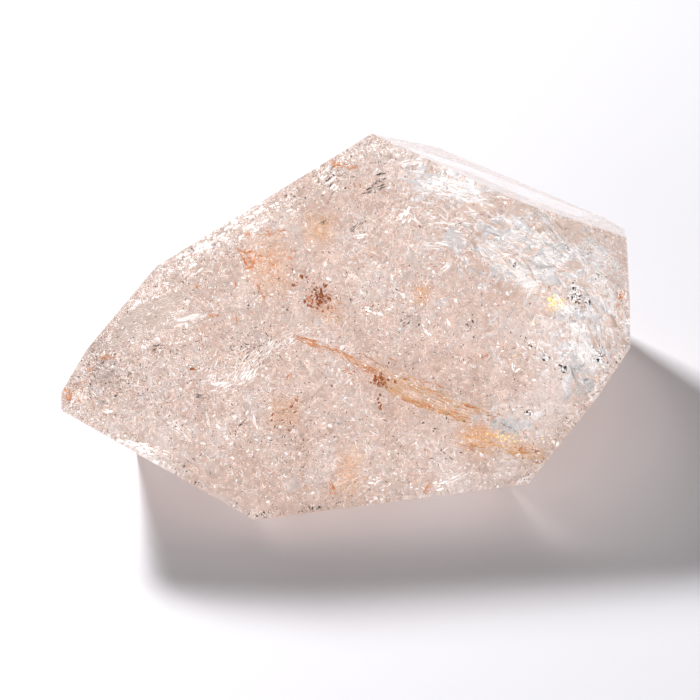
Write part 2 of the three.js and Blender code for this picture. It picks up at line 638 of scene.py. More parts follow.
@dataclass
class StoneSpace:
    """The space inside the stone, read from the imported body's flat faces."""

    body: bpy.types.Object
    view: Viewpoint
    normals: np.ndarray = field(init=False)
    reaches: np.ndarray = field(init=False)
    low: np.ndarray = field(init=False)
    high: np.ndarray = field(init=False)

    def __post_init__(self) -> None:
        """Read each face as a plane that the inside lies behind."""
        faces = self.body.data.polygons
        normals = np.array([face.normal for face in faces])
        centres = np.array([face.center for face in faces])
        reaches = np.einsum("ij,ij->i", normals, centres)
        alike = np.round(np.c_[normals * TURN_STEPS, reaches * REACH_STEPS])
        kept = np.unique(alike, axis=0, return_index=True)[1]
        self.normals, self.reaches = normals[kept], reaches[kept]
        corners = np.array([vertex.co for vertex in self.body.data.vertices])
        self.low, self.high = corners.min(0), corners.max(0)

    def depth(self, points: np.ndarray) -> np.ndarray:
        """How far each point lies under the stone's surface, in metres; below 0 it is outside."""
        return (self.reaches[None, :] - points @ self.normals.T).min(1)

    def thickets(self, points: np.ndarray, rng: np.random.Generator) -> np.ndarray:
        """How thick a patchy scatter is at each point.

        Args:
            points: The points.
            rng: The seeded source of chance.

        Returns:
            A share for each point, from 0 to 1, that changes softly from patch to patch.
        """
        turns = unit(rng.normal(size=(PATCH_WAVES, 3)))
        ways = turns * (2 * math.pi / (rng.uniform(*PATCH_SIZES, (PATCH_WAVES, 1)) * MM))
        phases = rng.uniform(0, 2 * math.pi, PATCH_WAVES)
        waves = np.sin(points @ ways.T + phases).sum(1) / math.sqrt(PATCH_WAVES / 2)
        return 1 / (1 + np.exp(-PATCH_CONTRAST * waves))

    def scatter(
        self, count: int, cover: float, fade: float, top: float, patchy: bool, rng: np.random.Generator
    ) -> np.ndarray:
        """Pick places inside the stone.

        Args:
            count: How many places.
            cover: The least depth of stone over each place.
            fade: The depth over which the places thin out by two thirds.
            top: The highest that a place may be over the floor.
            patchy: Whether the places gather in patches.
            rng: The seeded source of chance.

        Returns:
            The places, one row each.
        """
        patches_seed = int(rng.integers(PATCH_SEEDS))
        found: list[np.ndarray] = []
        total = 0
        ceiling = np.array([self.high[0], self.high[1], min(self.high[2], top)])
        while total < count:
            guess = rng.uniform(self.low, ceiling, (count, 3))
            depth = self.depth(guess) - cover
            share = np.exp(-depth / fade)
            if patchy:
                share *= self.thickets(guess, np.random.default_rng(patches_seed))
            kept = guess[(depth > 0) & (rng.random(count) < share)]
            found.append(kept)
            total += len(kept)
        return np.concatenate(found)[:count]

    def place(self, spot: Spot) -> np.ndarray:
        """Find where a spot of the photograph lies, along the line of sight as the stone bends it.

        Args:
            spot: The spot.

        Returns:
            Its place, in metres.
        """
        eye, ray = self.view.sight(spot)
        facing = self.normals @ ray
        steps = (self.reaches - self.normals @ eye) / facing
        enter = np.where(facing < 0, steps, -np.inf).argmax()
        if steps[enter] > np.where(facing > 0, steps, np.inf).min():
            raise ValueError(f"{spot} misses the stone")
        normal = self.normals[enter]
        slant = -normal @ ray
        bent = (ray + normal * slant) / QUARTZ_IOR - normal * math.sqrt(1 - (1 - slant**2) / QUARTZ_IOR**2)
        return eye + ray * steps[enter] + bent * spot.deep * MM

    def fit(self, flakes: np.ndarray, places: np.ndarray) -> np.ndarray:
        """How much each flake has to shrink, at most 1, to stay under the stone's skin.

        Args:
            flakes: The flakes' vertices, each about its own middle.
            places: Where the flakes' middles go.

        Returns:
            One factor for each flake, below 0 where it can't fit.
        """
        over = np.einsum("nvi,pi->nvp", flakes, self.normals).max(1)
        room = self.reaches[None] - places @ self.normals.T - SKIN
        return np.minimum(1, (room / np.maximum(over, LEAST_REACH)).min(1))

    def settle(self, points: np.ndarray, depths: np.ndarray) -> np.ndarray:
        """Move each point straight up or down under the flat that is nearest to it.

        Args:
            points: The points.
            depths: How deep under its flat each one goes.

        Returns:
            The points, at their depths.
        """
        room = self.reaches[None] - points @ self.normals.T
        nearest = room.argmin(1)
        shift = room[np.arange(len(points)), nearest] - depths
        return points + self.normals[nearest] * shift[:, None]

    def keep_inside(self, points: np.ndarray, cover: float) -> np.ndarray:
        """Push points that stick out back under the skin.

        Args:
            points: The points.
            cover: The least depth of stone over each point.

        Returns:
            The points, all inside.
        """
        points = points.copy()
        for _ in range(PUSHES_INWARD):
            room = self.reaches[None] - points @ self.normals.T - cover
            worst = room.argmin(1)
            short = np.minimum(room[np.arange(len(points)), worst], 0)
            points += self.normals[worst] * short[:, None]
        return points


def unit(vectors: np.ndarray) -> np.ndarray:
    """Scale each row to length 1."""
    return vectors / np.linalg.norm(vectors, axis=1, keepdims=True)


def turns_for(
    count: int, rng: np.random.Generator, along: np.ndarray | None = None, jitter: float = 0.0
) -> np.ndarray:
    """Turn each flake from its own axes into the stone's.

    Args:
        count: How many flakes.
        rng: The seeded source of chance.
        along: The way that the flakes are long; with none, they lie every way.
        jitter: How much they stray from it, from 0 to about 1.

    Returns:
        A 3 by 3 matrix for each flake.
    """
    long_way, facing = unit(rng.normal(size=(count, 3))), unit(rng.normal(size=(count, 3)))
    if along is not None:
        long_way = unit(along / np.linalg.norm(along) + jitter * long_way)
    facing = unit(facing - long_way * np.einsum("ij,ij->i", long_way, facing)[:, None])
    return np.stack([long_way, np.cross(facing, long_way), facing], axis=2)


@dataclass(frozen=True)
class Crowd:
    """Flakes crowded along a line between two spots, straying from it by some mm, close under the skin."""

    start: Spot
    end: Spot
    spread: float
    count: int
    aligned: float = 0.0
    deepest: float = 1.3
    shallowest: float = 0.2

    def scatter(self, space: StoneSpace, rng: np.random.Generator) -> tuple[np.ndarray, np.ndarray]:
        """Pick the flakes' places and turns.

        Args:
            space: The inside of the stone.
            rng: The seeded source of chance.

        Returns:
            The places in metres, and a 3 by 3 matrix for each flake.
        """
        start, end = space.place(self.start), space.place(self.end)
        steps = rng.random((self.count, 1))
        places = start + (end - start) * steps + rng.normal(size=(self.count, 3)) * self.spread * MM
        places = space.settle(places, rng.uniform(self.shallowest, self.deepest, self.count) * MM)
        if not self.aligned:
            return places, turns_for(self.count, rng)
        return places, turns_for(self.count, rng, end - start, 1 - self.aligned)


def crowds(*rows: tuple[float, ...]) -> tuple[Crowd, ...]:
    """Make crowds of rows: the pixels where each starts and ends, then its other fields in their order."""
    return tuple(Crowd(Spot(*row[:2]), Spot(*row[2:4]), *row[4:]) for row in rows)


def crowds_along(path: tuple[Spot, ...], spread: float, count: int, aligned: float) -> tuple[Crowd, ...]:
    """Make a crowd for each stretch of a string of spots, with as many flakes in each."""
    return tuple(Crowd(start, end, spread, count, aligned) for start, end in zip(path, path[1:]))


def make_piece(name: str, mesh: bpy.types.Mesh, finish: CrackFinish) -> None:
    """Make an object of a finished mesh and tie it to the stone.

    Args:
        name: The piece's name.
        mesh: Its mesh, with its place in its vertices.
        finish: What it is made of.
    """
    mesh.materials.clear()
    mesh.materials.append(finish.material())
    piece = bpy.data.objects.new(name, mesh)
    piece.visible_shadow = False
    bpy.context.scene.collection.objects.link(piece)
    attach(piece, "root")
    log.info("%s: %d triangles", name, len(mesh.loops) - 2 * len(mesh.polygons))


@dataclass(frozen=True)
class Cloud:
    """Flakes of one kind, spread through the stone or crowded in clusters."""

    name: str
    finish: CrackFinish
    flake: Flake
    smallest: float
    largest: float
    seed: int
    count: int = 0
    crowds: tuple[Crowd, ...] = ()
    cover: float = 0.3
    fade: float = 7.0
    top: float = 100.0
    few_large: float = 0.5
    patchy: bool = False

    def build(self, space: StoneSpace) -> None:
        """Place the flakes and join them in one mesh.

        Args:
            space: The inside of the stone.
        """
        rng = np.random.default_rng(self.seed)
        shape = self.flake.shape()
        places = []
        if self.count:
            reach = (self.cover * MM, self.fade * MM, self.top * MM)
            places.append(space.scatter(self.count, *reach, self.patchy, rng))
        turns = [turns_for(self.count, rng)] if self.count else []
        for crowd in self.crowds:
            middles, ways = crowd.scatter(space, rng)
            places.append(middles)
            turns.append(ways)
        middles, ways = np.concatenate(places), np.concatenate(turns)
        shares = rng.power(self.few_large, len(middles))
        sizes = (self.smallest + (self.largest - self.smallest) * shares) * MM
        flakes = np.einsum("nij,vj->nvi", ways, shape.points) * sizes[:, None, None]
        fits = space.fit(flakes, middles)
        kept = fits > LEAST_FIT
        sizes = sizes[kept] * fits[kept]
        points = flakes[kept] * fits[kept, None, None] + middles[kept][:, None, :]
        sheets = shape.points[None, :, :2] * (sizes / MM)[:, None, None]
        sheets += rng.uniform(-SHEET_SPREAD, SHEET_SPREAD, (len(sheets), 1, 2))
        make_piece(self.name, self.join(points, shape, sheets), self.finish)

    def join(self, points: np.ndarray, shape: FlakeShape, sheets: np.ndarray) -> bpy.types.Mesh:
        """Join the copies in one mesh.

        Args:
            points: The copies' vertices, copy by copy.
            shape: The flake.
            sheets: Each vertex's place on its own sheet, in mm, for the finish's streaks.

        Returns:
            The mesh.
        """
        copies, corners = points.shape[0], points.shape[1]
        faces = (shape.triangles[None] + (np.arange(copies) * corners)[:, None, None]).reshape(-1)
        mesh = bpy.data.meshes.new(self.name)
        mesh.vertices.add(copies * corners)
        mesh.vertices.foreach_set("co", points.reshape(-1))
        mesh.loops.add(len(faces))
        mesh.loops.foreach_set("vertex_index", faces)
        mesh.polygons.add(len(faces) // 3)
        mesh.polygons.foreach_set("loop_start", np.arange(0, len(faces), 3))
        mesh.update(calc_edges=True)
        if self.finish.streaks:
            rim = mesh.attributes.new("inward", "FLOAT", "POINT")
            rim.data.foreach_set("value", np.tile(shape.inward, copies))
            layer = mesh.uv_layers.new(name="sheet")
            layer.data.foreach_set("uv", sheets.reshape(-1, 2)[faces].reshape(-1))
        return mesh


def smooth_path(path: tuple[Spot, ...], space: StoneSpace, steps: int) -> np.ndarray:
    """Run a smooth line through a row of spots.

    Args:
        path: The spots.
        space: The inside of the stone.
        steps: How many points the line has.

    Returns:
        The points, in metres.
    """
    corners = np.array([space.place(spot) for spot in path])
    knots = np.linspace(0, 1, len(path))
    offsets = np.linspace(-0.5, 0.5, SMOOTHED_OVER) / (len(path) - 1)
    shares = np.clip(np.linspace(0, 1, steps)[:, None] + offsets[None], 0, 1)
    return np.stack([np.interp(shares, knots, corners[:, axis]).mean(1) for axis in range(3)], axis=1)


@dataclass(frozen=True)
class Veil:
    """One thin crack between two edges, each a row of spots, with a wave of some mm."""

    near: tuple[Spot, ...]
    far: tuple[Spot, ...]
    wave: float = 0.2
    steps_along: int = 40
    steps_across: int = 8
    soft: float = 0.18

    def build(self, space: StoneSpace) -> bpy.types.Object:
        """Bend a grid between the two edges.

        Args:
            space: The inside of the stone.

        Returns:
            The sheet, with its streak map and its rim's fade.
        """
        deselect_everything()
        steps = {"x_subdivisions": self.steps_along, "y_subdivisions": self.steps_across}
        bpy.ops.mesh.primitive_grid_add(**steps, size=1)
        sheet = bpy.context.object
        mesh = sheet.data
        flat = np.array([vertex.co for vertex in mesh.vertices]) + 0.5
        along, across = flat[:, 0], flat[:, 1]
        columns = np.rint(along * self.steps_along).astype(int)
        near = smooth_path(self.near, space, self.steps_along + 1)
        far = smooth_path(self.far, space, self.steps_along + 1)
        points = near[columns] * (1 - across)[:, None] + far[columns] * across[:, None]
        side = np.cross(near[-1] - near[0], (far - near).mean(0))
        side /= np.linalg.norm(side)
        ripple = sum(np.sin(along * long + across * wide) * share for long, wide, share in RIPPLES)
        points = space.keep_inside(points + side * (ripple * self.wave * MM)[:, None], 2 * SKIN)
        mesh.vertices.foreach_set("co", points.reshape(-1))
        rim = mesh.attributes.new("inward", "FLOAT", "POINT")
        edge = np.minimum(np.minimum(along, 1 - along), np.minimum(across, 1 - across)) / self.soft
        rim.data.foreach_set("value", np.clip(edge, 0, 1))
        while mesh.uv_layers:
            mesh.uv_layers.remove(mesh.uv_layers[0])
        layer = mesh.uv_layers.new(name="sheet")
        length = np.linalg.norm(np.diff(near, axis=0), axis=1).sum() / MM
        breadth = np.linalg.norm(far - near, axis=1).mean() / MM
        spread = np.c_[along * length, across * breadth] + near[0, :2] / MM * STREAK_SHIFT
        corners = np.array([loop.vertex_index for loop in mesh.loops])
        layer.data.foreach_set("uv", spread[corners].reshape(-1))
        return sheet


def veils(*rows: tuple[object, ...], deep: float = USUAL_DEPTH) -> tuple[Veil, ...]:
    """Make veils of rows: the pixels along each one's two edges, then its other fields in their order."""
    return tuple(Veil(spots(*near, deep=deep), spots(*far, deep=deep), *rest) for near, far, *rest in rows)


@dataclass(frozen=True)
class Veils:
    """Cracks of one finish, joined in one mesh."""

    name: str
    finish: CrackFinish
    veils: tuple[Veil, ...]
    thickness: float = 0.04

    def build(self, space: StoneSpace) -> None:
        """Model the cracks, join them and give them their thickness.

        Args:
            space: The inside of the stone.
        """
        sheets = [veil.build(space) for veil in self.veils]
        deselect_everything()
        for sheet in sheets:
            sheet.select_set(True)
        bpy.context.view_layer.objects.active = sheets[0]
        if len(sheets) > 1:
            bpy.ops.object.join()
        joined = bpy.context.object
        wall = joined.modifiers.new("wall", "SOLIDIFY")
        wall.thickness = self.thickness * MM
        wall.offset = 0
        bpy.ops.object.modifier_apply(modifier="wall")
        mesh = joined.data.copy()
        bpy.data.objects.remove(joined)
        make_piece(self.name, mesh, self.finish)


THIN_PLATE = Flake(FlakeForm.CHIP, 5, 0.10)
SPLINTER = Flake(FlakeForm.PLATE, 4, 0.10, width=0.25)
FIBRE = Flake(FlakeForm.CHIP, 3, 0.08, width=0.14)
NEEDLE = Flake(FlakeForm.CHIP, 3, 0.08, width=0.13)
CHIP = Flake(FlakeForm.CHIP, 3, 0.5)
SHARD = Flake(FlakeForm.CHIP, 3, 0.12, width=0.7)
SLAB = Flake(FlakeForm.CHIP, 4, 0.06, width=0.8)
SHEET = Flake(FlakeForm.SHEET, 7, 0.01, bend=0.5)
LONG_BLADE = Flake(FlakeForm.PLATE, 6, 0.015, width=0.14, skew=0.1)
BLADE = Flake(FlakeForm.PLATE, 6, 0.05, width=0.3, skew=0.2)


@dataclass
class RustVeils:
    """The two iron-stained cracks that cross the front flats, with their wisps and their painted gold glints.
    """

    long_lower: tuple[Spot, ...] = spots(294, 337, 322, 350, 346, 359, 371, 376, 398, 397, 432, 415, 467, 422)
    long_upper: tuple[Spot, ...] = (
        spots(293, 334, 323, 345, 347, 354) + spots(376, 364, 412, 380, 454, 400, 498, 413, deep=1.2)
    )
    short_lower: tuple[Spot, ...] = spots(452, 438, 475, 446, 500, 451, 522, 457, 545, 460)
    short_upper: tuple[Spot, ...] = spots(466, 427, 490, 428, 510, 432, 530, 440, 548, 453, deep=2)
    wisps: tuple[Crowd, ...] = (
        # the long veil's bright edge, its brown lower edge and its upper edge
        *crowds_along(spots(297, 337, 318, 346, 343, 354, 358, 365, 374, 372), 0.25, 34, 0.85),
        *crowds_along(spots(400, 398, 418, 402, 440, 412, 466, 420), 0.3, 20, 0.85),
        *crowds_along(spots(462, 404, 478, 410, 497, 415), 0.3, 14, 0.85),
        # stray wisps between them, then the short veil's
        *crowds_along(spots(352, 352, 386, 366, 420, 384, 440, 392), 0.9, 14, 0.8),
        *crowds_along(spots(386, 375, 420, 396, 450, 408), 1.2, 10, 0.8),
        *crowds((463, 443, 485, 447, 0.3, 20, 0.85), (505, 448, 547, 459, 0.8, 26, 0.8)),
    )
    ochre_lines: tuple[Crowd, ...] = (
        # the long veil's
        *crowds_along(spots(378, 366, 412, 382, 452, 401, 492, 413), 0.5, 26, 0.9),
        *crowds_along(spots(378, 380, 402, 396, 436, 411, 468, 420), 0.35, 34, 0.9),
        *crowds_along(spots(384, 374, 420, 394, 455, 410), 1.0, 12, 0.9),
        # the short veil's
        *crowds_along(spots(456, 440, 500, 449, 544, 459), 0.6, 30, 0.9),
        *crowds_along(spots(466, 430, 505, 436, 540, 450), 0.8, 12, 0.9),
    )
    ochre_specks: tuple[Crowd, ...] = crowds(
        (500, 447, 548, 458, 0.9, 90), (335, 455, 372, 484, 2.2, 110),
        (340, 470, 348, 500, 0.8, 30), (337, 305, 343, 302, 0.25, 26, 0, 0.5),
        (306, 240, 332, 224, 1.5, 90, 0, 1.0), (412, 296, 428, 290, 0.9, 40, 0, 1.0),
        (341, 318, 346, 312, 0.8, 20, 0, 0.8),
    )
    # painted glints: yellow flecks that glow, standing in for light flashing in colour
    gold_specks: tuple[Crowd, ...] = crowds(
        (490, 434, 518, 440, 0.5, 26), (549, 300, 560, 305, 0.6, 70, 0, 0.5),
        (532, 322, 535, 324, 0.2, 4), (514, 357, 517, 357, 0.2, 3), (350, 445, 356, 452, 0.4, 5),
        (258, 298, 262, 303, 0.3, 4),
    )
    peach_drifts: tuple[Veil, ...] = veils(
        ((298, 246, 320, 254, 338, 244), (298, 206, 320, 208, 344, 214), 0.2, 12, 8, 0.5),
        ((408, 306, 420, 310, 434, 304), (410, 282, 421, 280, 434, 284), 0.2, 12, 8, 0.5),
        ((304, 312, 322, 324, 342, 328), (312, 296, 330, 298, 350, 304), 0.2, 12, 8, 0.5),
        ((262, 428, 284, 436, 306, 428), (264, 392, 286, 388, 308, 398), 0.2, 12, 8, 0.5),
        ((330, 500, 345, 503, 362, 498), (330, 440, 350, 436, 372, 446), 0.2, 16, 10, 0.5),
        ((240, 280, 262, 300, 296, 306), (238, 232, 266, 226, 300, 232), 0.2, 16, 10, 0.5),
        ((442, 444, 470, 452, 504, 458), (452, 422, 480, 414, 508, 420), 0.2, 12, 8, 0.4),
    )
    brown_hazes: tuple[Veil, ...] = veils(
        ((304, 301, 316, 310, 330, 308), (310, 287, 320, 285, 333, 292), 0.1, 10, 8, 0.5),
        ((371, 383, 379, 390, 388, 387), (373, 372, 381, 371, 390, 375), 0.1, 10, 8, 0.5),
        deep=1.2,
    )

    def build(self, space: StoneSpace) -> None:
        """Build the veils and the needles and specks along them."""
        parts = (
            Veils("rust_veils", RUST_VEIL, (Veil(self.long_lower, self.long_upper, 0.3, 80, 12, 0.1),)),
            Veils("ochre_veils", OCHRE_VEIL, (Veil(self.short_lower, self.short_upper, 0.2, 50, 10),)),
            Veils("peach_veils", PEACH_VEIL, self.peach_drifts),
            Veils("brown_veils", BROWN_VEIL, self.brown_hazes),
            Cloud("rust_needles", RUST, NEEDLE, 0.8, 2.6, seed=31, crowds=self.wisps),
            Cloud("ochre_needles", OCHRE, NEEDLE, 0.8, 2.8, seed=53, crowds=self.ochre_lines),
            Cloud("ochre_specks", OCHRE, CHIP, 0.15, 0.5, seed=32, crowds=self.ochre_specks),
            Cloud("gold_specks", YELLOW_GLINT, CHIP, 0.18, 0.55, seed=33, crowds=self.gold_specks),
        )
        for part in parts:
            part.build(space)


@dataclass
class DarkBlotches:
    """The red-brown blotches, the orange triangle, and the black stripes, in part painted dark reflections.
    """

    triangle: tuple[Crowd, ...] = (
        *crowds_along(spots(238, 249, 245, 253, 256, 252), 0.08, 14, 0.9),
        *crowds_along(spots(239, 250, 244, 260, 248, 268), 0.08, 12, 0.9),
        *crowds_along(spots(256, 253, 254, 261, 252, 267, 248, 268), 0.08, 12, 0.9),
    )
    brown_chips: tuple[Crowd, ...] = crowds(
        # the upper blotch, and what lies just over it
        (310, 300, 328, 294, 0.85, 110, 0, 0.5), (315, 291, 326, 305, 0.85, 85, 0, 0.5),
        (304, 273, 310, 281, 0.35, 14, 0.4), (293, 284, 297, 284, 0.25, 4),
        # the lower blotch and its drips
        (375, 379, 386, 383, 0.6, 66, 0, 0.5), (380, 393, 380, 395, 0.1, 6, 0, 0.5),
        (378, 398, 379, 403, 0.12, 9, 0, 0.5), (380, 406, 381, 410, 0.12, 9, 0, 0.5),
        # loose flecks
        (192, 370, 198, 372, 0.15, 8, 0.9), (366, 310, 369, 311, 0.2, 4), (374, 306, 382, 308, 0.3, 6),
        (472, 205, 474, 205, 0.1, 4), (419, 225, 420, 226, 0.1, 4),
        (272, 402, 298, 424, 1.8, 26, 0, 0.8), (520, 449, 546, 458, 0.6, 30),
    )
    rust_lines: tuple[Crowd, ...] = crowds(
        # in the triangle and beside it
        (245, 256, 252, 262, 0.5, 18), (258, 257, 276, 265, 0.5, 26, 0.85),
        (262, 246, 292, 262, 1.6, 26, 0.8), (262, 233, 286, 232, 0.3, 24, 0.85),
        (240, 238, 250, 233, 0.3, 12, 0.85),
        # short streaks under it and left of it
        (258, 285, 265, 299, 0.15, 14, 0.9), (235, 280, 236, 287, 0.12, 8, 0.9),
        (208, 314, 218, 315, 0.2, 9, 0.8), (235, 313, 237, 321, 0.2, 7, 0.8),
        (250, 313, 252, 311, 0.15, 5), (196, 287, 199, 286, 0.15, 5),
        # the red-orange streak under the peak
        (329, 163, 345, 166, 0.25, 30, 0.85), (347, 169, 358, 165, 0.25, 18, 0.8),
        (352, 183, 360, 184, 0.5, 14),
        # on the two blotches
        (308, 295, 311, 303, 0.25, 30, 0, 0.5), (376, 374, 384, 377, 0.5, 24, 0, 0.6),
        # at the tip
        (86, 370, 91, 368, 0.3, 8), (80, 385, 85, 382, 0.3, 9), (66, 391, 70, 403, 0.7, 50),
        (98, 358, 112, 355, 0.4, 22, 0.7),
        # at the wide end
        (620, 292, 622, 298, 0.35, 22), (616, 303, 618, 305, 0.2, 8),
        # loose specks and lines on the front
        (286, 378, 293, 376, 0.25, 9), (344, 368, 356, 376, 0.35, 14),
        (328, 480, 336, 496, 0.3, 18, 0.8), (430, 482, 424, 494, 0.3, 26, 0.85),
        (480, 357, 487, 355, 0.2, 8), (447, 391, 449, 392, 0.12, 4), (425, 449, 432, 452, 0.2, 7),
    )
    black_stripes: tuple[Crowd, ...] = crowds(
        # the stripes under the peak, painted reflections of the dark room
        (376, 175, 384, 173, 0.12, 16, 0.92), (373, 183, 386, 180, 0.14, 26, 0.92),
        (366, 190, 375, 185, 0.14, 16, 0.92), (373, 191, 385, 187, 0.28, 36, 0.9),
        (362, 194, 369, 192, 0.12, 12, 0.92), (351, 230, 360, 223, 0.3, 28, 0.9),
        (322, 225, 330, 218, 0.2, 10, 0.9), (326, 186, 334, 176, 0.7, 22, 0.9),
        # short dark lines towards the tip
        (152, 351, 163, 346, 0.3, 20, 0.8), (196, 396, 203, 397, 0.15, 14, 0.9),
        (239, 426, 247, 422, 0.3, 14, 0.8),
        # wide scatters of dark flecks
        (245, 340, 265, 348, 1.6, 80), (250, 358, 265, 355, 0.9, 24), (180, 350, 230, 350, 2.2, 70),
        (190, 430, 290, 440, 2.5, 60), (350, 420, 450, 460, 3.0, 40), (345, 290, 400, 320, 2.5, 36),
        (97, 368, 116, 380, 2.0, 60),
        # loose flecks
        (137, 396, 142, 394, 0.3, 8), (188, 461, 195, 459, 0.4, 9), (401, 322, 412, 317, 0.5, 14, 0.85),
        (449, 379, 450, 381, 0.1, 4), (350, 299, 354, 300, 0.15, 7),
    )

    def build(self, space: StoneSpace) -> None:
        """Build the blotches, lines and stripes."""
        parts = (
            Cloud("brown_chips", DARK_RUST, THIN_PLATE, 0.25, 0.85, seed=34, crowds=self.brown_chips),
            Cloud("rust_lines", RUST, SPLINTER, 0.4, 1.3, seed=35, crowds=self.triangle + self.rust_lines),
            Cloud("black_stripes", DARK_FLAKES_AND_REFLECTIONS, SPLINTER, 0.3, 1.1, seed=36, crowds=self.black_stripes),
        )
        for part in parts:
            part.build(space)


@dataclass
class WideEnd:
    """The large flat cracks, white clouds, and the painted glints and dark reflections in the stone's wide
    end.
    """

    white_plates: tuple[Crowd, ...] = crowds(
        (480, 235, 590, 265, 3.0, 60, 0.5, 2.5), (580, 300, 608, 345, 2.0, 26, 0.5, 2.5),
    )
    beige_plates: tuple[Crowd, ...] = crowds(
        (470, 215, 600, 250, 3.0, 40, 0.5, 2.0), (560, 300, 608, 355, 2.5, 18, 0.5, 2.0),
        (440, 215, 540, 300, 3.0, 18, 0.5, 2.0),
    )
    grey_plates: tuple[Crowd, ...] = crowds(
        (505, 235, 590, 255, 1.8, 14), (572, 380, 600, 385, 1.5, 9), (490, 420, 530, 428, 1.0, 9),
    )
    long_blades: tuple[Crowd, ...] = crowds(
        (470, 215, 590, 275, 2.6, 60, 0.75, 1.5), (505, 290, 560, 215, 3.0, 40, 0.75, 1.5),
        (585, 280, 612, 350, 2.0, 34, 0.7, 1.5), (415, 178, 486, 194, 1.0, 34, 0.8, 1.5),
    )
    beige_blades: tuple[Crowd, ...] = crowds(
        (450, 210, 590, 270, 2.6, 44, 0.75, 1.2), (515, 290, 570, 220, 3.0, 30, 0.75, 1.2),
        (580, 290, 605, 350, 2.0, 20, 0.7, 1.2),
    )
    grey_blades: tuple[Crowd, ...] = crowds(
        (480, 220, 585, 265, 2.2, 22, 0.8, 1.0), (515, 285, 560, 225, 2.2, 12, 0.8, 1.0),
        (585, 300, 605, 350, 1.5, 12, 0.7, 1.0),
    )
    dark_lines: tuple[Crowd, ...] = crowds(
        (480, 225, 590, 262, 2.5, 40, 0.4), (575, 300, 610, 350, 2.0, 16, 0.4),
    )
    calm_wedge: tuple[Veil, ...] = (
        *veils(((94, 356, 130, 340, 168, 320), (116, 322, 146, 296, 200, 286), 0.02, 30, 10, 0.12), deep=0.3),
        *veils(((166, 319, 215, 311, 300, 308), (166, 317, 215, 309, 300, 306), 0.02, 30, 2)),
    )
    milky_veils: tuple[Veil, ...] = veils(
        ((470, 300, 510, 360, 550, 430), (560, 270, 592, 310, 608, 370), 0.2, 24, 16, 0.5),
        ((490, 415, 515, 450, 538, 468), (535, 350, 565, 385, 584, 408), 0.2, 24, 16, 0.5),
        deep=0.6,
    )
    top_veil: tuple[Veil, ...] = veils(
        (
            (398, 146, 430, 158, 470, 173, 505, 189, 540, 204, 575, 216, 608, 225),
            (404, 145, 430, 154, 470, 166, 505, 180, 540, 193, 572, 206, 600, 217),
            0.03, 60, 12, 0.15,
        ),
        deep=0.3,
    )
    smoky_veil: tuple[Veil, ...] = veils(
        ((86, 392, 104, 396, 122, 392), (92, 358, 108, 354, 124, 360), 0.1, 12, 10, 0.5), deep=0.5,
    )
    flat_cracks: tuple[Veil, ...] = veils(
        ((454, 209, 478, 213, 499, 209), (462, 205, 480, 203, 502, 204), 0.05, 8, 4),
        ((506, 215, 520, 218, 533, 213), (504, 205, 520, 203, 532, 206), 0.05, 8, 4),
        ((490, 225, 503, 232, 518, 234), (492, 219, 505, 222, 516, 227), 0.05, 8, 4),
        ((519, 253, 530, 257, 540, 250), (522, 249, 532, 248, 541, 248), 0.05, 8, 4),
        ((545, 219, 562, 234, 578, 248), (560, 217, 582, 224, 596, 236), 0.1, 10, 6),
        ((560, 268, 572, 272, 584, 268), (564, 262, 574, 260, 582, 262), 0.05, 8, 4),
        ((522, 262, 524, 275, 526, 288), (519, 260, 521, 275, 525, 290), 0.05, 8, 2),
    )
    blue_grey_cracks: tuple[Veil, ...] = veils(
        ((524, 258, 530, 266, 538, 270), (526, 254, 533, 256, 539, 264), 0.05, 8, 4),
        ((514, 233, 525, 234, 534, 230), (516, 229, 525, 228, 533, 227), 0.05, 8, 4),
        ((482, 428, 505, 432, 528, 430), (488, 419, 508, 418, 530, 422), 0.1, 12, 5),
        ((332, 425, 340, 426, 347, 424), (333, 421, 340, 420, 347, 421), 0.05, 8, 3),
        ((506, 399, 510, 400, 514, 398), (506, 394, 510, 393, 514, 395), 0.05, 6, 3),
        ((572, 396, 584, 398, 596, 390), (574, 380, 586, 376, 598, 380), 0.1, 10, 6),
        ((94, 405, 100, 407, 107, 404), (95, 399, 101, 398, 107, 399), 0.05, 8, 4),
    )
    white_cracks: tuple[Veil, ...] = veils(
        ((536, 206, 538, 213, 541, 223), (538, 204, 541, 212, 542, 222), 0.02, 8, 3),
        ((490, 353, 497, 362, 503, 369), (494, 350, 501, 359, 507, 366), 0.02, 8, 3),
        ((144, 368, 147, 378, 150, 390), (151, 366, 153, 378, 154, 391), 0.05, 8, 4),
        ((246, 392, 248, 402, 251, 411), (249, 391, 251, 402, 253, 410), 0.02, 8, 3),
        ((174, 386, 177, 393, 180, 401), (176, 385, 179, 392, 182, 399), 0.02, 8, 3),
        ((358, 380, 360, 393, 362, 409), (361, 378, 363, 393, 365, 407), 0.02, 8, 3),
        ((88, 388, 96, 398, 104, 398), (92, 384, 98, 386, 104, 392), 0.05, 8, 4),
        ((475, 215, 520, 250, 560, 290), (500, 212, 545, 232, 590, 275), 0.6, 40, 14),
        ((470, 250, 500, 275, 540, 300), (480, 232, 520, 260, 556, 285), 0.6, 40, 14),
        ((580, 262, 596, 290, 612, 330), (598, 262, 614, 290, 624, 335), 0.4, 30, 10),
        ((556, 330, 575, 350, 590, 385), (590, 320, 600, 345, 606, 372), 0.4, 30, 10),
        ((408, 190, 445, 197, 490, 200), (430, 172, 455, 178, 486, 190), 0.4, 40, 10),
    )
    white_clouds: tuple[Crowd, ...] = crowds(
        (475, 240, 590, 250, 3.6, 640, 0, 4), (575, 290, 605, 345, 3.0, 380, 0, 4),
        (590, 380, 560, 345, 2.5, 200, 0, 4), (415, 180, 480, 190, 1.8, 140, 0, 4),
        (485, 420, 530, 428, 1.2, 80, 0, 3), (585, 235, 612, 265, 2.5, 200, 0, 4),
    )
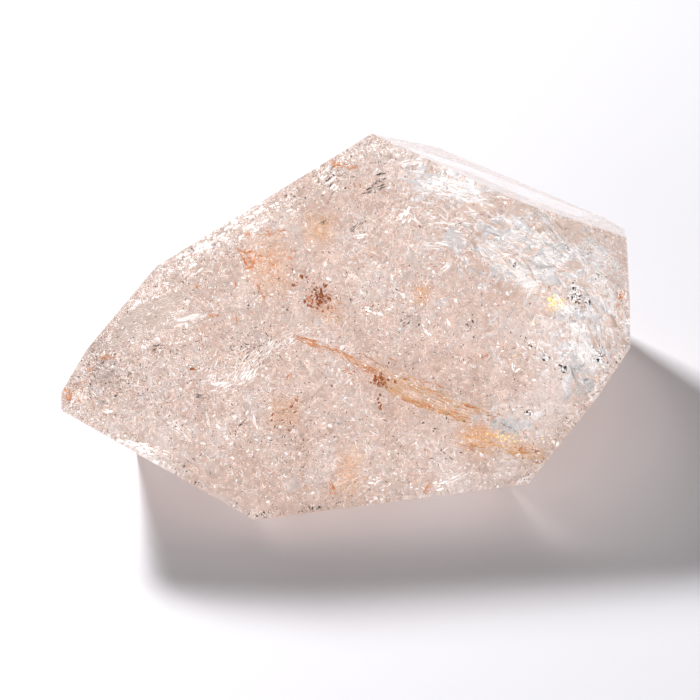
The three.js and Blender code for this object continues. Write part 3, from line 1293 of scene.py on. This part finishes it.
    # painted glints and painted dark reflections: the dark sparkles and their glints share these crowds
    sparkles: tuple[Crowd, ...] = crowds(
        # the two dark patches by the right edge
        (571, 288, 577, 298, 0.5, 30, 0.4), (577, 296, 586, 303, 0.5, 30, 0.4),
        (594, 346, 600, 352, 0.5, 22, 0.4), (596, 356, 603, 366, 0.5, 26, 0.5),
        # smaller ones
        (527, 343, 537, 350, 0.45, 13, 0.5), (543, 351, 549, 361, 0.35, 12, 0.6),
        (561, 366, 566, 370, 0.3, 10, 0.6), (597, 274, 599, 277, 0.2, 6), (605, 276, 607, 280, 0.2, 8),
        (562, 242, 572, 252, 0.2, 16, 0.9), (527, 412, 533, 414, 0.35, 16),
        (512, 228, 534, 230, 0.3, 14, 0.8), (510, 258, 518, 268, 0.2, 8, 0.9),
        (475, 320, 470, 330, 0.6, 8),
    )

    def build(self, space: StoneSpace) -> None:
        """Build the plates, clouds and sparkles."""
        parts = (
            Cloud("white_plates", CLOUD_WHITE, THIN_PLATE, 1.5, 5.0, seed=42, crowds=self.white_plates),
            Cloud("beige_plates", PINK_PLATE, THIN_PLATE, 1.5, 5.0, seed=43, crowds=self.beige_plates),
            Cloud("grey_plates", GREY_REFLECTION, THIN_PLATE, 0.8, 3.0, seed=44, crowds=self.grey_plates),
            Cloud("long_blades", CLOUD_WHITE, LONG_BLADE, 2.0, 7.0, seed=46, crowds=self.long_blades),
            Cloud("beige_blades", PINK_PLATE, LONG_BLADE, 2.0, 7.0, seed=47, crowds=self.beige_blades),
            Cloud("grey_blades", GREY_REFLECTION, LONG_BLADE, 1.5, 5.0, seed=48, crowds=self.grey_blades),
            Cloud("dark_lines", DARK_FLAKES_AND_REFLECTIONS, NEEDLE, 0.5, 2.2, seed=45, crowds=self.dark_lines),
            Veils("calm_wedge", CALM_VEIL, self.calm_wedge),
            Veils("milky_veils", MILKY_VEIL, self.milky_veils),
            Veils("top_veil", TOP_VEIL, self.top_veil),
            Veils("smoky_veil", SMOKY_VEIL, self.smoky_veil),
            Veils("flat_cracks", PINK_PLATE, self.flat_cracks),
            Veils("blue_grey_cracks", BLUE_GREY_REFLECTION, self.blue_grey_cracks),
            Veils("white_cracks", WHITE_PLATE, self.white_cracks),
            Cloud("white_clouds", CLOUD_WHITE, THIN_PLATE, 0.4, 2.4, seed=37, crowds=self.white_clouds),
            Cloud("dark_sparkles", DARK_FLAKES_AND_REFLECTIONS, THIN_PLATE, 0.25, 0.8, seed=38, crowds=self.sparkles),
            Cloud("sparkle_glints", GLINT, THIN_PLATE, 0.2, 0.6, seed=39, crowds=self.sparkles),
        )
        for part in parts:
            part.build(space)


@dataclass
class WhiteBands:
    """The bands of thin white needles, and the bright blades of painted glint along the stone's edges."""

    white_needles: tuple[Crowd, ...] = (
        # the band that runs from the long veil's start towards the tip
        *crowds_along(spots(299, 331, 280, 341, 266, 353, 250, 366, 240, 378, 214, 388), 0.8, 28, 0.7),
        *crowds(
            (232, 378, 252, 350, 2.4, 80, 0.3, 0.7),
            # under the long top flat
            (404, 163, 420, 160, 0.2, 18, 0.9), (420, 175, 490, 196, 1.6, 120, 0.6),
            (400, 205, 470, 225, 1.6, 80, 0.5), (425, 243, 450, 245, 0.4, 24, 0.9),
            (445, 268, 462, 254, 0.3, 20, 0.9),
            # the wide end's
            (480, 230, 590, 262, 3.0, 330, 0.3), (575, 300, 615, 345, 2.2, 200, 0.3),
            # single needles on the front
            (251, 412, 257, 429, 0.1, 12, 0.95), (205, 412, 209, 425, 0.1, 8, 0.95),
            (175, 424, 190, 436, 0.3, 10, 0.9), (200, 316, 180, 318, 0.5, 20, 0.8),
            (360, 435, 366, 450, 0.4, 12, 0.8), (450, 480, 460, 474, 0.5, 22, 0.85),
        ),
    )
    # painted glints: blades that glow white, standing in for light caught on edges and cracks
    white_blades: tuple[Crowd, ...] = crowds(
        # along the upper left edge
        (176, 262, 208, 243, 1.2, 40, 0.8), (208, 243, 262, 212, 1.3, 64, 0.8),
        (185, 268, 215, 250, 1.1, 36, 0.8), (240, 230, 275, 212, 1.2, 32, 0.8),
        # on the lower left edge and on the edge over the tip
        (125, 445, 165, 452, 0.7, 44, 0.8), (130, 305, 140, 301, 0.5, 14, 0.85),
        # near the peak
        (318, 188, 332, 175, 1.0, 26, 0.9), (322, 172, 328, 167, 0.3, 8, 0.9),
        # single blades and small groups on the front
        (366, 310, 382, 316, 0.3, 16, 0.8), (446, 318, 451, 325, 0.2, 8, 0.9),
        (424, 329, 431, 336, 0.2, 8, 0.9), (402, 220, 410, 212, 0.5, 14, 0.8),
        (352, 238, 366, 236, 0.4, 10, 0.9), (440, 180, 480, 190, 1.2, 30, 0.7),
        (207, 384, 228, 387, 0.7, 18, 0.6), (241, 380, 252, 370, 0.4, 14, 0.9),
        (552, 300, 568, 310, 0.8, 22), (560, 358, 575, 348, 0.7, 18), (496, 370, 520, 368, 0.7, 10),
        (442, 484, 458, 476, 0.5, 16, 0.8), (365, 468, 378, 482, 0.7, 14),
        (100, 410, 112, 411, 0.4, 8, 0.7),
    )

    def build(self, space: StoneSpace) -> None:
        """Build the needles and blades."""
        parts = (
            Cloud("white_needles", BRIGHT, NEEDLE, 0.8, 3.2, seed=40, crowds=self.white_needles),
            Cloud("white_blades", GLINT, BLADE, 0.3, 1.5, seed=41, crowds=self.white_blades),
        )
        for part in parts:
            part.build(space)


@dataclass
class PinkQuartz:
    """The whole stone: its polished body and what lies inside it."""

    finish: QuartzFinish = QuartzFinish()
    white_drifts: tuple[Crowd, ...] = crowds(
        (110, 400, 290, 340, 6.0, 1600, 0, 2.0, 0.7),
        (150, 430, 300, 400, 5.0, 1500, 0, 2.0, 0.7),
        (180, 290, 300, 260, 4.5, 700, 0, 2.0, 0.7),
        (340, 190, 450, 230, 4.5, 1200, 0, 2.0, 0.7),
        (330, 260, 450, 340, 4.5, 1300, 0, 2.0, 0.5),
        (230, 470, 500, 470, 3.0, 1500, 0, 2.0, 0.4),
        (560, 250, 612, 330, 4.0, 900, 0, 2.0, 0.4),
        (585, 240, 618, 268, 2.0, 900, 0, 1.6),
    )
    dim_drifts: tuple[Crowd, ...] = crowds(
        (75, 400, 120, 380, 3.5, 450, 0, 1.6), (95, 350, 120, 370, 3.0, 200, 0, 1.6),
        (272, 402, 300, 424, 1.8, 150, 0, 1.0), (235, 335, 270, 360, 2.5, 130, 0, 1.0),
    )
    rust_specks: tuple[Crowd, ...] = crowds(
        (245, 235, 290, 310, 2.6, 170), (275, 430, 345, 495, 3.0, 170),
        (70, 385, 110, 375, 2.0, 70), (350, 470, 365, 495, 2.0, 60),
        (440, 250, 460, 280, 2.5, 60),
    )

    def haze(self) -> tuple[Cloud, ...]:
        """Plan the milky cloud that fills the stone, from its deep heart to its skin.

        Returns:
            Its clouds, in the order that they are built in.
        """
        return (
            Cloud("cloudy_heart", HEART, SLAB, 0.8, 2.6, seed=9, count=17000, cover=1.5, fade=8),
            Cloud("pale_heart", PALE_HEART, SLAB, 0.8, 2.6, seed=24, count=12000, cover=1.5, fade=8),
            # painted light: glowing flakes crowd the foot, rim and hem so that no dark floor shows under them
            Cloud("cloudy_foot", HEART, SLAB, 0.8, 3.5, seed=22, count=10000, cover=0.5, fade=8, top=12),
            Cloud("cloudy_rim", HEART, SLAB, 0.3, 1.2, seed=26, count=9000, cover=0.1, fade=2, top=9),
            Cloud("cloudy_hem", HEART, SLAB, 0.3, 1.0, seed=54, count=6500, cover=0.05, fade=1.5, top=3.5),
            Cloud("milky_sheets", MILK, SHEET, 2, 8, seed=10, count=700),
            Cloud("haze_shards", HAZE, SHARD, 0.15, 0.7, seed=11, count=15500, cover=0.1, fade=2.5),
            Cloud("haze_fibres", HAZE, FIBRE, 0.35, 1.3, seed=52, count=20000, cover=0.1, fade=2.0),
            Cloud("pale_shards", PALE_HAZE, SHARD, 0.10, 0.38, seed=23, count=12500, cover=0.1, fade=1.8),
            Cloud(
                "pale_fibres", PALE_HAZE, FIBRE, 0.3, 1.1, seed=27, count=17000, cover=0.1, fade=1.5,
                patchy=True,
            ),
            Cloud(
                "white_drifts", WHITE_HAZE, FIBRE, 0.3, 1.1, seed=50, count=3500, cover=0.1, fade=1.5,
                patchy=True, crowds=self.white_drifts,
            ),
            Cloud("dim_drifts", DIM_HAZE, FIBRE, 0.4, 1.1, seed=51, crowds=self.dim_drifts),
            Cloud("dim_shards", DIM_HAZE, SHARD, 0.10, 0.45, seed=25, count=13000, cover=0.1, fade=1.5),
            Cloud(
                "dim_fibres", DIM_HAZE, FIBRE, 0.35, 1.2, seed=12, count=12000, cover=0.1, fade=1.5,
                patchy=True,
            ),
        )

    def sparkle(self) -> tuple[Cloud, ...]:
        """Plan the bright and dark specks all through the stone; the glints among them are painted
        highlights.

        Returns:
            Their clouds, in the order that they are built in.
        """
        return (
            Cloud("bright_plates", BRIGHT, THIN_PLATE, 0.2, 1.0, seed=13, count=2600, fade=2, patchy=True),
            Cloud("bright_needles", BRIGHT, NEEDLE, 0.5, 2.5, seed=17, count=4200, fade=1.5, patchy=True),
            Cloud("glint_plates", GLINT, THIN_PLATE, 0.10, 0.6, seed=18, count=2400, fade=1.2, patchy=True),
            Cloud("glint_chips", GLINT, CHIP, 0.08, 0.24, seed=14, count=5000, fade=1.0, patchy=True),
            Cloud("cool_glints", COOL_GLINT, THIN_PLATE, 0.12, 0.6, seed=49, count=900, fade=1.0),
            Cloud("smoky_plates", DARK_FLAKES_AND_REFLECTIONS, THIN_PLATE, 0.12, 0.5, seed=15, count=2600, fade=1.2, patchy=True),
            Cloud(
                "rust_specks", RUST, CHIP, 0.08, 0.35, seed=16, count=1500, fade=1.2, patchy=True,
                crowds=self.rust_specks,
            ),
            Cloud("yellow_glints", YELLOW_GLINT, CHIP, 0.10, 0.30, seed=19, count=90, fade=1.2),
            Cloud("blue_glints", BLUE_GLINT, CHIP, 0.10, 0.30, seed=20, count=60, fade=1.2),
        )

    def build(self) -> None:
        """Dress the body and fill it."""
        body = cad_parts["quartz"]
        body.data.materials.clear()
        body.data.materials.append(self.finish.material())
        space = StoneSpace(body, Viewpoint())
        for part in (*self.haze(), *self.sparkle()):
            part.build(space)
        for group in (RustVeils(), DarkBlotches(), WideEnd(), WhiteBands()):
            group.build(space)
        meshes = [piece.data for piece in bpy.data.objects if piece.type == "MESH"]
        triangles = sum(len(mesh.loops) - 2 * len(mesh.polygons) for mesh in meshes)
        log.info("all pieces: %d triangles", triangles)


def main() -> None:
    """Build the view, the studio and the stone."""
    Viewpoint().build()
    Studio().build()
    PinkQuartz().build()


if __name__ == "__main__":
    main()
